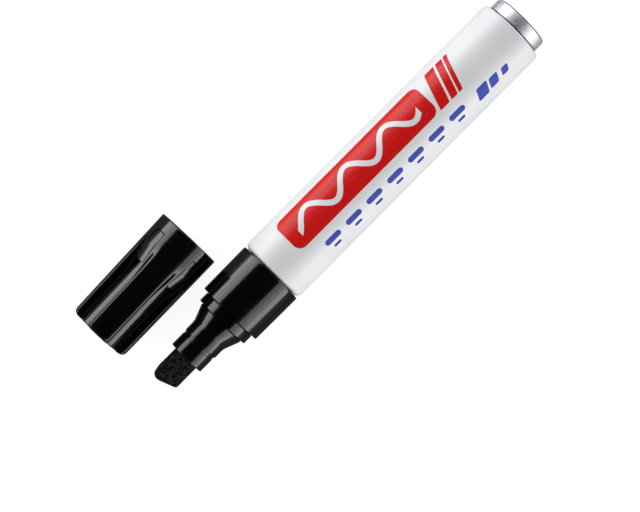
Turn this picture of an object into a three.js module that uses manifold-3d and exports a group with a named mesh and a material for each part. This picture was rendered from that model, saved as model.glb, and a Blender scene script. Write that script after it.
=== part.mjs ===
// A chisel-tip permanent marker lying on a table, with its cap taken off and laid beside the nib.
// Millimetres. X runs back from the nib to the rear end, Z is up, the cap lies on the +Y side.

import * as THREE from 'three';
import { mergeVertices } from 'three/addons/utils/BufferGeometryUtils.js';
import Module from 'manifold-3d';

const wasm = await Module();
wasm.setup();

// Facets round a full turn, with a flat facet underneath so that round pieces lie still.
const SEGMENTS = 48;
const ARC_STEPS = 4;

// Chisel nib
const NIB_DIAMETER = 7.4;
const NIB_SHOWING = 9;
const NIB_SLANT = 21.5;
const NIB_EDGE_THICKNESS = 1.6;
const NIB_BEVEL_LENGTH = 5.2;
const NIB_LEADING_ROUND = 4.8;
const NIB_LEADING_CUT = 3.6;
const NIB_TRAILING_ROUND = 0.4;
const NIB_SHANK_CHAMFER = 0.4;
const NIB_IN_WADDING = 5;

// Moulded front section, from the nib backwards
const HOLDER_FRONT_RADIUS = 5.05;
const HOLDER_FRONT_LENGTH = 4.05;
const HOLDER_EDGE_ROUND = 0.5;
const SEAL_GROOVE_WIDTH = 1.05;
const SEAL_GROOVE_DEPTH = 0.12;
const HOLDER_REAR_RADIUS = 5.22;
const HOLDER_REAR_LENGTH = 3.1;
const CONE_LENGTH = 4.7;
const CONE_REAR_RADIUS = 7.07;
const CONE_FILLET = 1.2;
const RING_RADIUS = 7.89;
const RING_LENGTH = 2.9;
const RING_CHAMFER = 0.3;
const GRIP_FRONT_STEP = 0.19;
const GRIP_REAR_STEP = 0.06;
const GRIP_LENGTH = 14.8;
const GRIP_FRONT_CHAMFER = 0.15;
const GRIP_REAR_ROUND = 0.6;
const NECK_RADIUS = 7.4;
const SKIRT_LENGTH = 4.6;
const SKIRT_CHAMFER = 0.4;
const SECTION_WALL = 0.9;
const NIB_BORE_LENGTH = 17;
const NIB_BORE_CONE = 2.5;
const VENT_COUNT = 4;
const VENT_WIDTH = 0.9;
const VENT_DEPTH = 0.5;

// Drawn aluminium barrel with the spigot that carries the posted cap
const BARREL_RADIUS = 9.42;
const BARREL_LENGTH = 86.7;
const BARREL_WALL = 0.5;
const BARREL_FRONT_ROUND = 1.6;
const SPIGOT_RADIUS = 7.89;
const SPIGOT_LENGTH = 3.8;
const SPIGOT_END_ROUND = 0.9;
const SPIGOT_FOOT_WIDTH = 0.25;
const SPIGOT_FOOT_DEPTH = 0.12;
const BASE_THICKNESS = 0.8;

// Fibre wadding in its film sleeve
const WRAP_THICKNESS = 0.3;

// Moulded cap, from its mouth to its closed end
const CAP_LENGTH = 33.7;
const CAP_MOUTH_RADIUS = 9;
const CAP_CLOSED_RADIUS = 8.6;
const CAP_WALL = 0.9;
const CAP_END_ROUND = 1.4;
const CAP_END_THICKNESS = 1.4;
const CAP_MOUTH_CHAMFER = 0.2;
const CAP_BORE_LENGTH = 4.4;
const RIM_LENGTH = 3.4;
const BAND_COUNT = 4;
const BAND_HALF_ANGLE = 22;
const CHANNEL_FLOOR_RADIUS = 6.45;
const CHANNEL_RUNOUT_START = 6.2;
const CHANNEL_RUNOUT_END = 18;
const CHANNEL_RUNOUT_BEND = 1.4;
const CHANNEL_RUNOUT_LIP = 0.1;
const PAD_HALF_ANGLE = 10.5;
const PAD_RECESS = 0.15;
const PAD_MARGIN = 0.06;
const PAD_RAMP_START = 7.9;
const PAD_END = 12.5;
const PAD_END_RADIUS = 7.64;
const SLEEVE_START = 8.6;
const SLEEVE_FREE_LENGTH = 2;
const SLEEVE_LEAD_IN = 0.3;
const SLEEVE_GAP = 0.15;
const SLEEVE_DRAFT = 0.15;

// The cap's place: its middle is this far back from the nib's tip and to the side, turned a little
const CAP_BACK = 14.35;
const CAP_ASIDE = 20.6;
const CAP_TURN = 1.47;

// Clearances between pieces that fit or seat on each other
const NIB_CLEARANCE = 0.15;
const WADDING_CLEARANCE = 0.25;
const CAP_CLEARANCE = 0.1;
const SEAT_GAP = 0.3;
const SKIRT_CLEARANCE = 0.2;
const SEAM_GAP = 0.25;

// Stations along the marker, measured back from the nib's tip
const nibRadius = NIB_DIAMETER / 2;
const holderEnd = NIB_SHOWING;
const grooveFront = holderEnd + HOLDER_FRONT_LENGTH;
const grooveRear = grooveFront + SEAL_GROOVE_WIDTH;
const coneFront = grooveRear + HOLDER_REAR_LENGTH;
const coneRear = coneFront + CONE_LENGTH;
const shoulder = coneRear + RING_LENGTH;
const gripRear = shoulder + GRIP_LENGTH;
const barrelFront = gripRear + SEAM_GAP;
const neckRear = barrelFront + BARREL_FRONT_ROUND;
const skirtRear = neckRear + SKIRT_LENGTH;
const barrelRear = barrelFront + BARREL_LENGTH;
const rearEnd = barrelRear + SPIGOT_LENGTH;
const barrelBore = BARREL_RADIUS - BARREL_WALL;
const gripFrontRadius = BARREL_RADIUS - GRIP_FRONT_STEP;
const gripRearRadius = BARREL_RADIUS - GRIP_REAR_STEP;
const wrapRadius = barrelBore - SEAT_GAP;
const wrapBore = wrapRadius - WRAP_THICKNESS;
const waddingFront = skirtRear + SEAT_GAP;
const waddingRear = barrelRear - (BARREL_RADIUS - SPIGOT_RADIUS);
const nibRear = waddingFront + NIB_IN_WADDING;

const degrees = THREE.MathUtils.degToRad;

// Points [station, radius] on an arc about a centre, angles from +station towards +radius.
function arc(centre, radius, from, to, steps = ARC_STEPS) {
  const points = [];
  for (let i = 0; i <= steps; i += 1) {
    const angle = degrees(from + ((to - from) * i) / steps);
    points.push([centre[0] + radius * Math.cos(angle), centre[1] + radius * Math.sin(angle)]);
  }
  return points;
}

// A smooth bend from one point to another that heads for the control point between them.
function bend(start, control, end, steps = ARC_STEPS) {
  const curve = new THREE.QuadraticBezierCurve(
    new THREE.Vector2(...start),
    new THREE.Vector2(...control),
    new THREE.Vector2(...end),
  );
  return curve.getPoints(steps).map((point) => [point.x, point.y]);
}

// Keeps only the corners, shared between faces, and drops triangles that close up to a line.
function weld(geometry) {
  const bare = new THREE.BufferGeometry();
  bare.setAttribute('position', geometry.getAttribute('position').clone());
  if (geometry.index) bare.setIndex(geometry.index.clone());
  const merged = mergeVertices(bare, 1e-4);
  const corners = merged.index.array;
  const kept = [];
  for (let i = 0; i < corners.length; i += 3) {
    const [a, b, c] = [corners[i], corners[i + 1], corners[i + 2]];
    if (a !== b && b !== c && c !== a) kept.push(a, b, c);
  }
  merged.setIndex(kept);
  return merged;
}

// Six times the volume that the triangles close in: negative when they face inwards.
function signedVolume(geometry) {
  const position = geometry.getAttribute('position');
  const corner = [new THREE.Vector3(), new THREE.Vector3(), new THREE.Vector3()];
  let volume = 0;
  for (let i = 0; i < geometry.index.count; i += 3) {
    corner.forEach((point, k) => point.fromBufferAttribute(position, geometry.index.getX(i + k)));
    volume += corner[0].dot(corner[1].clone().cross(corner[2]));
  }
  return volume;
}

// A solid for joining and cutting, made from any closed geometry.
function solid(geometry) {
  const welded = weld(geometry);
  const triangles = Uint32Array.from(welded.index.array);
  if (signedVolume(welded) < 0) {
    for (let i = 0; i < triangles.length; i += 3) {
      [triangles[i], triangles[i + 1]] = [triangles[i + 1], triangles[i]];
    }
  }
  const vertProperties = Float32Array.from(welded.getAttribute('position').array);
  return new wasm.Manifold(new wasm.Mesh({ numProp: 3, vertProperties, triVerts: triangles }));
}

function geometryOf(body) {
  const mesh = body.getMesh();
  const geometry = new THREE.BufferGeometry();
  geometry.setAttribute('position', new THREE.BufferAttribute(Float32Array.from(mesh.vertProperties), 3));
  geometry.setIndex(Array.from(mesh.triVerts));
  geometry.computeVertexNormals();
  return geometry;
}

// Revolves an outline of [station, radius] points about the X axis. The outline closes on itself.
function revolve(outline, segments = SEGMENTS) {
  const closed = [...outline, outline[0]].map(([station, radius]) => new THREE.Vector2(radius, station));
  const lathe = new THREE.LatheGeometry(closed, segments, Math.PI / segments);
  return solid(lathe.rotateZ(-Math.PI / 2));
}

// A wedge about the X axis, this far either side of an angle measured from straight up towards +Y.
function wedge(angle, halfAngle, start, end, reach) {
  const shape = new THREE.Shape();
  shape.moveTo(0, 0);
  [angle - halfAngle, angle + halfAngle].forEach((side) => {
    shape.lineTo(-reach * Math.cos(degrees(side)), reach * Math.sin(degrees(side)));
  });
  const prism = new THREE.ExtrudeGeometry(shape, { depth: end - start, bevelEnabled: false });
  return solid(prism.rotateY(Math.PI / 2).translate(start, 0, 0));
}

function slabAlongZ(outline, height) {
  const shape = new THREE.Shape(outline.map(([x, y]) => new THREE.Vector2(x, y)));
  const slab = new THREE.ExtrudeGeometry(shape, { depth: height, bevelEnabled: false });
  return solid(slab.translate(0, 0, -height / 2));
}

function slabAlongY(outline, width) {
  const shape = new THREE.Shape(outline.map(([x, z]) => new THREE.Vector2(x, z)));
  const slab = new THREE.ExtrudeGeometry(shape, { depth: width, bevelEnabled: false });
  return solid(slab.rotateX(Math.PI / 2).translate(0, width / 2, 0));
}

function named(name, body, look) {
  const mesh = new THREE.Mesh(geometryOf(body), new THREE.MeshStandardMaterial(look));
  mesh.name = name;
  return mesh;
}

// Felt slug. Seen from above its tip is cut on a slant, with the leading corner worn round, and
// two bevels bring its top and bottom down to the writing edge.
function makeNib() {
  const slope = Math.tan(degrees(NIB_SLANT));
  const edgeAt = (y) => (nibRadius - y) * slope;
  const leadY = nibRadius - NIB_LEADING_CUT * Math.cos(degrees(NIB_SLANT));
  const trailY = NIB_TRAILING_ROUND - nibRadius;
  const side = nibRadius + 1;
  const past = nibRear + nibRadius;
  const leading = bend([NIB_LEADING_ROUND, nibRadius], [0, nibRadius], [edgeAt(leadY), leadY], 10);
  const tipX = Math.min(...leading.map(([x]) => x));
  const plan = [
    ...leading,
    ...bend([edgeAt(trailY), trailY], [edgeAt(-nibRadius), -nibRadius],
      [edgeAt(-nibRadius) + NIB_TRAILING_ROUND, -nibRadius], 3),
    [edgeAt(-nibRadius) + NIB_TRAILING_ROUND, -side],
    [past, -side],
    [past, side],
    [NIB_LEADING_ROUND, side],
  ].map(([x, y]) => [x - tipX, y]);
  const edge = NIB_EDGE_THICKNESS / 2;
  const profile = [
    [-1, -edge],
    [0, -edge],
    [NIB_BEVEL_LENGTH, -nibRadius],
    [NIB_BEVEL_LENGTH, -side],
    [past, -side],
    [past, side],
    [NIB_BEVEL_LENGTH, side],
    [NIB_BEVEL_LENGTH, nibRadius],
    [0, edge],
    [-1, edge],
  ];
  const rod = revolve([
    [-1, 0],
    [-1, nibRadius],
    [nibRear - NIB_SHANK_CHAMFER, nibRadius],
    [nibRear, nibRadius - NIB_SHANK_CHAMFER],
    [nibRear, 0],
  ], 32);
  return rod.intersect(slabAlongZ(plan, 2 * side)).intersect(slabAlongY(profile, 2 * side));
}

// Holder, seal groove, flare cone, ring, grip cylinder, neck and the skirt inside the barrel.
function makeFrontSection() {
  const bore = nibRadius + NIB_CLEARANCE;
  const cavity = NECK_RADIUS - SECTION_WALL;
  const cavityFront = holderEnd + NIB_BORE_LENGTH;
  const skirtRadius = barrelBore - SKIRT_CLEARANCE;
  const grooveRadius = HOLDER_FRONT_RADIUS - SEAL_GROOVE_DEPTH;
  const coneSlope = (CONE_REAR_RADIUS - HOLDER_REAR_RADIUS) / CONE_LENGTH;
  const outline = [
    [holderEnd, bore],
    ...arc([holderEnd + HOLDER_EDGE_ROUND, HOLDER_FRONT_RADIUS - HOLDER_EDGE_ROUND],
      HOLDER_EDGE_ROUND, 180, 90, 3),
    [grooveFront, HOLDER_FRONT_RADIUS],
    [grooveFront + SEAL_GROOVE_DEPTH, grooveRadius],
    [grooveRear - SEAL_GROOVE_DEPTH, grooveRadius],
    [grooveRear, HOLDER_REAR_RADIUS],
    ...bend([coneFront - CONE_FILLET / 2, HOLDER_REAR_RADIUS], [coneFront, HOLDER_REAR_RADIUS],
      [coneFront + CONE_FILLET, HOLDER_REAR_RADIUS + CONE_FILLET * coneSlope]),
    [coneRear, CONE_REAR_RADIUS],
    [coneRear, RING_RADIUS - RING_CHAMFER],
    [coneRear + RING_CHAMFER, RING_RADIUS],
    [shoulder, RING_RADIUS],
    [shoulder, gripFrontRadius - GRIP_FRONT_CHAMFER],
    [shoulder + GRIP_FRONT_CHAMFER, gripFrontRadius],
    ...arc([gripRear - GRIP_REAR_ROUND, gripRearRadius - GRIP_REAR_ROUND], GRIP_REAR_ROUND, 90, 0, 3),
    [gripRear, NECK_RADIUS],
    [neckRear, NECK_RADIUS],
    [neckRear, skirtRadius - SKIRT_CHAMFER],
    [neckRear + SKIRT_CHAMFER, skirtRadius],
    [skirtRear - SKIRT_CHAMFER, skirtRadius],
    [skirtRear, skirtRadius - SKIRT_CHAMFER],
    [skirtRear, cavity],
    [cavityFront + NIB_BORE_CONE, cavity],
    [cavityFront, bore],
  ];
  let section = revolve(outline);
  const ventReach = bore + VENT_DEPTH;
  const ventLength = NIB_BORE_LENGTH + NIB_BORE_CONE + 1;
  for (let i = 0; i < VENT_COUNT; i += 1) {
    const vent = new THREE.BoxGeometry(ventLength, VENT_WIDTH, ventReach);
    vent.translate(holderEnd - 1 + ventLength / 2, 0, ventReach / 2);
    vent.rotateX(degrees(45) + (i * 2 * Math.PI) / VENT_COUNT);
    section = section.subtract(solid(vent));
  }
  return section;
}

// One drawn can: rolled lip, straight wall, rear shoulder and closed spigot.
function makeBarrel() {
  const rearRound = BARREL_RADIUS - SPIGOT_RADIUS;
  const lipBore = NECK_RADIUS + SEAT_GAP;
  const lipCentre = BARREL_RADIUS - BARREL_FRONT_ROUND;
  const spigotBore = SPIGOT_RADIUS - BARREL_WALL;
  const footRadius = SPIGOT_RADIUS - SPIGOT_FOOT_DEPTH;
  const innerEnd = rearEnd - BASE_THICKNESS;
  return revolve([
    [barrelFront, lipBore],
    ...arc([barrelFront + BARREL_FRONT_ROUND, lipCentre], BARREL_FRONT_ROUND, 180, 90),
    ...arc([barrelRear - rearRound, SPIGOT_RADIUS], rearRound, 90, 0),
    [barrelRear, footRadius],
    [barrelRear + SPIGOT_FOOT_WIDTH, footRadius],
    [barrelRear + SPIGOT_FOOT_WIDTH, SPIGOT_RADIUS],
    ...arc([rearEnd - SPIGOT_END_ROUND, SPIGOT_RADIUS - SPIGOT_END_ROUND], SPIGOT_END_ROUND, 90, 0, 3),
    [rearEnd, 0],
    [innerEnd, 0],
    [innerEnd, spigotBore],
    [barrelRear - BARREL_WALL, spigotBore],
    ...arc([barrelRear - rearRound, SPIGOT_RADIUS], rearRound - BARREL_WALL, 0, 90).slice(1),
    ...arc([barrelFront + BARREL_FRONT_ROUND, lipCentre], BARREL_FRONT_ROUND - BARREL_WALL, 90, 180),
    [barrelFront + BARREL_WALL, lipBore],
  ]);
}

function makeWadding() {
  const radius = wrapBore - WADDING_CLEARANCE;
  const socket = nibRadius + WADDING_CLEARANCE;
  const socketEnd = nibRear + SEAT_GAP;
  return revolve([
    [waddingFront, socket],
    [waddingFront, radius],
    [waddingRear, radius],
    [waddingRear, 0],
    [socketEnd, 0],
    [socketEnd, socket],
  ]);
}

function makeWrap() {
  return revolve([
    [waddingFront, wrapBore],
    [waddingFront, wrapRadius],
    [waddingRear, wrapRadius],
    [waddingRear, wrapBore],
  ]);
}

// Moulded cap with its mouth at X = 0 and its closed end at X = -CAP_LENGTH. Four channels run out
// at a pad each, and inside a sealing sleeve stands free of the wall, with a pocket behind each band.
function makeCap() {
  const draft = (CAP_MOUTH_RADIUS - CAP_CLOSED_RADIUS) / CAP_LENGTH;
  const skin = (u) => CAP_MOUTH_RADIUS - draft * u;
  const outside = 1.2 * CAP_MOUTH_RADIUS;
  const past = 1.1 * CAP_LENGTH;
  const depth = (outline) => revolve(outline.map(([u, radius]) => [-u, radius]));
  const shell = depth([
    [0, 0],
    [0, CAP_MOUTH_RADIUS],
    ...arc([CAP_LENGTH - CAP_END_ROUND, CAP_CLOSED_RADIUS - CAP_END_ROUND], CAP_END_ROUND, 90, 0),
    [CAP_LENGTH, 0],
  ]);
  const lip = [CHANNEL_RUNOUT_START, skin(CHANNEL_RUNOUT_START)];
  const foot = [CHANNEL_RUNOUT_END, CHANNEL_FLOOR_RADIUS];
  const lipBend = [lip[0] + CHANNEL_RUNOUT_BEND, lip[1] - CHANNEL_RUNOUT_LIP];
  const footBend = [foot[0] - CHANNEL_RUNOUT_BEND, foot[1]];
  const halfway = [(lipBend[0] + footBend[0]) / 2, (lipBend[1] + footBend[1]) / 2];
  const channelCut = depth([
    ...bend(lip, lipBend, halfway),
    ...bend(halfway, footBend, foot).slice(1),
    [past, CHANNEL_FLOOR_RADIUS],
    [past, outside],
    [CHANNEL_RUNOUT_START, outside],
  ]);
  const padTop = skin(PAD_RAMP_START) - PAD_RECESS;
  const padSlope = (padTop - PAD_END_RADIUS) / (PAD_END - PAD_RAMP_START);
  const padCutEnd = PAD_END + PAD_MARGIN;
  const padCut = depth([
    [RIM_LENGTH, skin(RIM_LENGTH) - PAD_RECESS],
    [PAD_RAMP_START, padTop],
    [padCutEnd, padTop - padSlope * (padCutEnd - PAD_RAMP_START)],
    [padCutEnd, outside],
    [RIM_LENGTH, outside],
  ]);
  // Behind a pad the channel is cut straight down, a hair deeper than its floor, so that the two
  // cuts share no face.
  const padBackRadius = CHANNEL_FLOOR_RADIUS - PAD_MARGIN;
  const padBackCut = depth([
    [PAD_END, padBackRadius],
    [CHANNEL_RUNOUT_END, padBackRadius],
    [CHANNEL_RUNOUT_END, outside],
    [PAD_END, outside],
  ]);
  const bore = RING_RADIUS + CAP_CLEARANCE;
  const sleeveBore = HOLDER_REAR_RADIUS + CAP_CLEARANCE;
  const sleeveRadius = CHANNEL_FLOOR_RADIUS - SLEEVE_LEAD_IN;
  const innerEnd = CAP_LENGTH - CAP_END_THICKNESS;
  const mouthEnd = SLEEVE_START + SLEEVE_FREE_LENGTH;
  const cavity = depth([
    [-1, 0],
    [-1, bore + CAP_MOUTH_CHAMFER],
    [0, bore + CAP_MOUTH_CHAMFER],
    [CAP_MOUTH_CHAMFER, bore],
    [CAP_BORE_LENGTH, bore],
    [mouthEnd, sleeveRadius + SLEEVE_GAP],
    [mouthEnd, sleeveRadius],
    [SLEEVE_START, sleeveRadius],
    [SLEEVE_START, sleeveBore + SLEEVE_LEAD_IN],
    [SLEEVE_START + SLEEVE_LEAD_IN, sleeveBore],
    ...arc([innerEnd - 1, sleeveBore - SLEEVE_DRAFT - 1], 1, 90, 0, 3),
    [innerEnd, 0],
  ]);
  const pocketEnd = innerEnd - CAP_WALL;
  const pocketStart = SLEEVE_START;
  const pocket = depth([
    [pocketStart, CHANNEL_FLOOR_RADIUS],
    [pocketStart, skin(pocketStart) - CAP_WALL],
    [pocketEnd, skin(pocketEnd) - CAP_WALL],
    [pocketEnd, CHANNEL_FLOOR_RADIUS],
  ]);
  const pitch = 360 / BAND_COUNT;
  const sideWall = THREE.MathUtils.radToDeg(CAP_WALL / CHANNEL_FLOOR_RADIUS);
  const padMargin = THREE.MathUtils.radToDeg(PAD_MARGIN / CAP_MOUTH_RADIUS);
  let cap = shell.subtract(cavity);
  for (let i = 0; i < BAND_COUNT; i += 1) {
    const band = i * pitch;
    const middle = band + pitch / 2;
    const channelHalf = pitch / 2 - BAND_HALF_ANGLE;
    const channelSpan = wedge(middle, channelHalf, -past, 0, 2 * outside);
    const padBlock = wedge(middle, PAD_HALF_ANGLE, -PAD_END, 0, 2 * outside);
    const padSpan = wedge(middle, PAD_HALF_ANGLE + padMargin, -past, 0, 2 * outside);
    const pocketSpan = wedge(band, BAND_HALF_ANGLE - sideWall, -past, 0, 2 * outside);
    cap = cap.subtract(channelCut.intersect(channelSpan).subtract(padBlock));
    cap = cap.subtract(padCut.add(padBackCut).intersect(padSpan));
    cap = cap.subtract(pocket.intersect(pocketSpan));
  }
  return cap;
}

const blackPlastic = { color: 0x0d0d0f, roughness: 0.22, metalness: 0 };
const whiteLacquer = { color: 0xe8e9eb, roughness: 0.3, metalness: 0.1 };
const inkedFelt = { color: 0x101011, roughness: 0.95, metalness: 0 };
const inkedWadding = { color: 0x1b1b1f, roughness: 1, metalness: 0 };
const clearFilm = { color: 0xd5d8d6, roughness: 0.4, metalness: 0 };

// The lowest facet of a round piece lies this far below its axis.
const flatRadius = (radius) => radius * Math.cos(Math.PI / SEGMENTS);

const marker = new THREE.Group();
marker.add(
  named('barrel', makeBarrel(), whiteLacquer),
  named('front_section', makeFrontSection(), blackPlastic),
  named('nib', makeNib(), inkedFelt),
  named('ink_reservoir', makeWadding(), inkedWadding),
  named('reservoir_wrap', makeWrap(), clearFilm),
);
marker.position.z = flatRadius(BARREL_RADIUS);

// The cap tapers, so it tips by its draft to lie on its lowest band.
const capDraft = Math.atan(flatRadius(CAP_MOUTH_RADIUS - CAP_CLOSED_RADIUS) / CAP_LENGTH);
const cap = named('cap', makeCap(), blackPlastic);
cap.position.x = CAP_LENGTH / 2;
const capOnTable = new THREE.Group();
capOnTable.add(cap);
capOnTable.rotation.order = 'ZYX';
capOnTable.rotation.set(0, -capDraft, degrees(CAP_TURN));
const capMiddleRadius = flatRadius((CAP_MOUTH_RADIUS + CAP_CLOSED_RADIUS) / 2);
capOnTable.position.set(CAP_BACK, CAP_ASIDE, capMiddleRadius * Math.cos(capDraft));

// The origin is the middle of the whole footprint, on the table.
const laidOut = new THREE.Group();
laidOut.add(marker, capOnTable);
const extent = new THREE.Box3().setFromObject(laidOut, true);
const middle = extent.getCenter(new THREE.Vector3());
laidOut.position.set(-middle.x, -middle.y, -extent.min.z);

const group = new THREE.Group();
group.add(laidOut);

export default group;
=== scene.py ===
"""Dresses a packed chisel-tip permanent marker, with its cap laid beside it, for a studio picture.

Every length is in millimetres until a mesh is made, and stations along the marker are measured back
from the nib's tip, as a draughtsman would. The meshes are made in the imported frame, in metres.
"""

import bisect
import logging
import math
from dataclasses import dataclass, field
from enum import Enum
from typing import Any, Sequence

import bmesh
import bpy
from mathutils import Matrix, Vector, noise


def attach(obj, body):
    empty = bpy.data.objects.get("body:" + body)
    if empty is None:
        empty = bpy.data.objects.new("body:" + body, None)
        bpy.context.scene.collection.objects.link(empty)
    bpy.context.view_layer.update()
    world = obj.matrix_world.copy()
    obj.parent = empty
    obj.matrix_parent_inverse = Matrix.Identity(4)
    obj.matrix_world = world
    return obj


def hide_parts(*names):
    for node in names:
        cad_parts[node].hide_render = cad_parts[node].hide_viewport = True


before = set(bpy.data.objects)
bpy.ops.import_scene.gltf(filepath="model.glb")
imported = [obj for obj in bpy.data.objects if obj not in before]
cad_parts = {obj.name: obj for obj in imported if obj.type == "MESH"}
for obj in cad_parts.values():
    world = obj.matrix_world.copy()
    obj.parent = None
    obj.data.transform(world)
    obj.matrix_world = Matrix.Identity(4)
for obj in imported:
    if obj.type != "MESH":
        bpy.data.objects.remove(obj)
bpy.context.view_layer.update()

LOG = logging.getLogger("marker")

MM = 0.001
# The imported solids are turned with 48 facets and lie on a flat one, so the smooth pieces are drawn
# on those flats: they touch the floor and stay inside the solids' box.
ON_FLATS = math.cos(math.pi / 48)
# Where station 0, the nib's tip, and the marker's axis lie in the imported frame.
TIP_X = -63.827
AXIS_Y = -10.3052
AXIS_Z = 9.4
# Stations of the pieces that others are placed from.
HOLDER_END = 9.0
BARREL_FRONT = 39.85
BARREL_RADIUS = 9.42
# A fillet takes at most this share of either edge beside its corner.
FILLET_SHARE = 0.48
# Points of a mesh that lie nearer than this, in metres, are one point.
WELD = 1e-7

Point = tuple[float, float]
Triple = tuple[float, float, float]
Corner = Triple


class Body(str, Enum):
    """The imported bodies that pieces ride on."""

    MARKER = "marker"
    NIB = "nib"
    CAP = "cap"


class Slot(str, Enum):
    """The record's material slots."""

    LACQUERED_ALUMINIUM = "lacquered_aluminium"
    BLACK_PLASTIC = "black_plastic"
    INKED_FELT = "inked_felt"


# Colour and node helpers


def linear(code: str) -> tuple[float, float, float, float]:
    """Turns an sRGB hex colour into linear RGBA.

    Args:
        code: Colour such as "#e7e8ea".

    Returns:
        Linear red, green and blue, and an alpha of 1.
    """
    channels = [int(code[i : i + 2], 16) / 255 for i in (1, 3, 5)]
    lin = [c / 12.92 if c <= 0.04045 else ((c + 0.055) / 1.055) ** 2.4 for c in channels]
    return (lin[0], lin[1], lin[2], 1.0)


def add(
    tree: bpy.types.NodeTree, kind: str, inputs: dict[int | str, Any] | None = None, **settings: Any
) -> bpy.types.Node:
    """Adds one shader node with its settings, values and links.

    Args:
        tree: Node tree that receives the node.
        kind: Node type without its "ShaderNode" prefix.
        inputs: For each input, a value, a socket, or a node whose first output is linked.
        settings: Properties of the node, such as operation.

    Returns:
        The new node.
    """
    node = tree.nodes.new(f"ShaderNode{kind}")
    for name, value in settings.items():
        setattr(node, name, value)
    for key, value in (inputs or {}).items():
        source = value.outputs[0] if isinstance(value, bpy.types.Node) else value
        if isinstance(source, bpy.types.NodeSocket):
            tree.links.new(source, node.inputs[key])
        else:
            node.inputs[key].default_value = source
    return node


def set_ramp(ramp: bpy.types.Node, stops: Point, colours: tuple[str, str]) -> bpy.types.Node:
    """Sets the two ends of a colour ramp.

    Args:
        ramp: ColorRamp node.
        stops: Where in the pattern, from 0 to 1, each end lies.
        colours: Hex colour of each end.

    Returns:
        The same node.
    """
    for element, stop, code in zip(ramp.color_ramp.elements, stops, colours):
        element.position = stop
        element.color = linear(code)
    return ramp


def ends(start: Point, end: Point = (0.0, 1.0)) -> dict[str, float]:
    """A MapRange node's inputs that turn the values of start into those of end."""
    return {"From Min": start[0], "From Max": start[1], "To Min": end[0], "To Max": end[1]}


def new_material(name: str) -> tuple[bpy.types.Material, bpy.types.NodeTree]:
    """Makes an empty node material.

    Args:
        name: Name of the material.

    Returns:
        The material and its tree.
    """
    material = bpy.data.materials.new(name)
    material.use_nodes = True
    tree = material.node_tree
    tree.nodes.clear()
    return material, tree


def millimetres(
    tree: bpy.types.NodeTree, scale: Sequence[float] = (1, 1, 1), origin: Sequence[float] = (0, 0, 0)
) -> bpy.types.Node:
    """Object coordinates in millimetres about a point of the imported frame.

    Args:
        tree: Node tree.
        scale: Stretch of the pattern along each axis, applied after the move.
        origin: Point in millimetres that becomes zero.

    Returns:
        A node whose first output is the vector.
    """
    place = add(tree, "TexCoord")
    move = tuple(-o * s for o, s in zip(origin, scale))
    size = tuple(s / MM for s in scale)
    return add(tree, "Mapping", {"Vector": place.outputs["Object"], "Location": move, "Scale": size})


# Mesh helpers


def curved(start: Point, control: Point, end: Point, steps: int) -> list[Point]:
    """Points on a quadratic bend, both ends included.

    Args:
        start: First point.
        control: Point that the bend heads for.
        end: Last point.
        steps: Number of pieces.

    Returns:
        steps + 1 points.
    """
    points = []
    for i in range(steps + 1):
        t = i / steps
        a, b, c = (1 - t) ** 2, 2 * t * (1 - t), t * t
        points.append(tuple(a * s + b * m + c * e for s, m, e in zip(start, control, end)))
    return points


def quarter_turn(steps: int) -> list[Point]:
    """Sine and cosine at each step of a quarter turn, both ends included."""
    turns = [math.pi / 2 * i / steps for i in range(steps + 1)]
    return [(math.sin(turn), math.cos(turn)) for turn in turns]


def filleted(corners: Sequence[Corner], steps: int) -> list[Point]:
    """Rounds the corners of a closed outline.

    Args:
        corners: Station, radius and fillet radius of each corner; 0 keeps it sharp.
        steps: Pieces of each fillet.

    Returns:
        The outline's points.
    """
    outline: list[Point] = []
    count = len(corners)
    for i, (x, r, fillet) in enumerate(corners):
        here = Vector((x, r))
        back = Vector(corners[i - 1][:2]) - here
        ahead = Vector(corners[(i + 1) % count][:2]) - here
        if fillet <= 0 or r == 0:
            outline.append((x, r))
            continue
        half = back.angle(ahead) / 2
        longest = FILLET_SHARE * min(back.length, ahead.length)
        reach = min(fillet / max(math.tan(half), 1e-6), longest)
        a = here + back.normalized() * reach
        b = here + ahead.normalized() * reach
        outline.extend(curved(tuple(a), (x, r), tuple(b), steps))
    return outline


def grid_mesh(
    name: str,
    columns: Sequence[Sequence[Vector]],
    sharp: float = 32,
    closed_rows: bool = True,
) -> bpy.types.Object:
    """Skins a grid of points that closes round on itself, and welds points that coincide.

    Args:
        name: Name of the piece.
        columns: For each column the same number of points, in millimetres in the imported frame.
        sharp: Edges that turn by more than this many degrees are drawn sharp.
        closed_rows: Whether the last row joins the first.

    Returns:
        The new object, linked to the scene.
    """
    mesh = bpy.data.meshes.new(name)
    shape = bmesh.new()
    made = [[shape.verts.new(point * MM) for point in column] for column in columns]
    rows = len(columns[0])
    for c, column in enumerate(made):
        beside = made[(c + 1) % len(made)]
        for r in range(rows if closed_rows else rows - 1):
            above = (r + 1) % rows
            shape.faces.new((column[r], beside[r], beside[above], column[above]))
    bmesh.ops.remove_doubles(shape, verts=shape.verts, dist=WELD)
    bmesh.ops.dissolve_degenerate(shape, edges=shape.edges, dist=WELD)
    bmesh.ops.recalc_face_normals(shape, faces=shape.faces)
    shape.to_mesh(mesh)
    shape.free()
    mesh.shade_smooth()
    mesh.set_sharp_from_angle(angle=math.radians(sharp))
    piece = bpy.data.objects.new(name, mesh)
    bpy.context.scene.collection.objects.link(piece)
    return piece


def on_marker(station: float, radius: float, angle: float) -> Vector:
    """A point about the marker's axis.

    Args:
        station: Millimetres back from the nib's tip.
        radius: Millimetres from the axis.
        angle: Radians from straight up towards the cap's side.

    Returns:
        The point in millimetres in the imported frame.
    """
    y = AXIS_Y + radius * math.sin(angle)
    return Vector((TIP_X + station, y, AXIS_Z + radius * math.cos(angle)))


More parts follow.
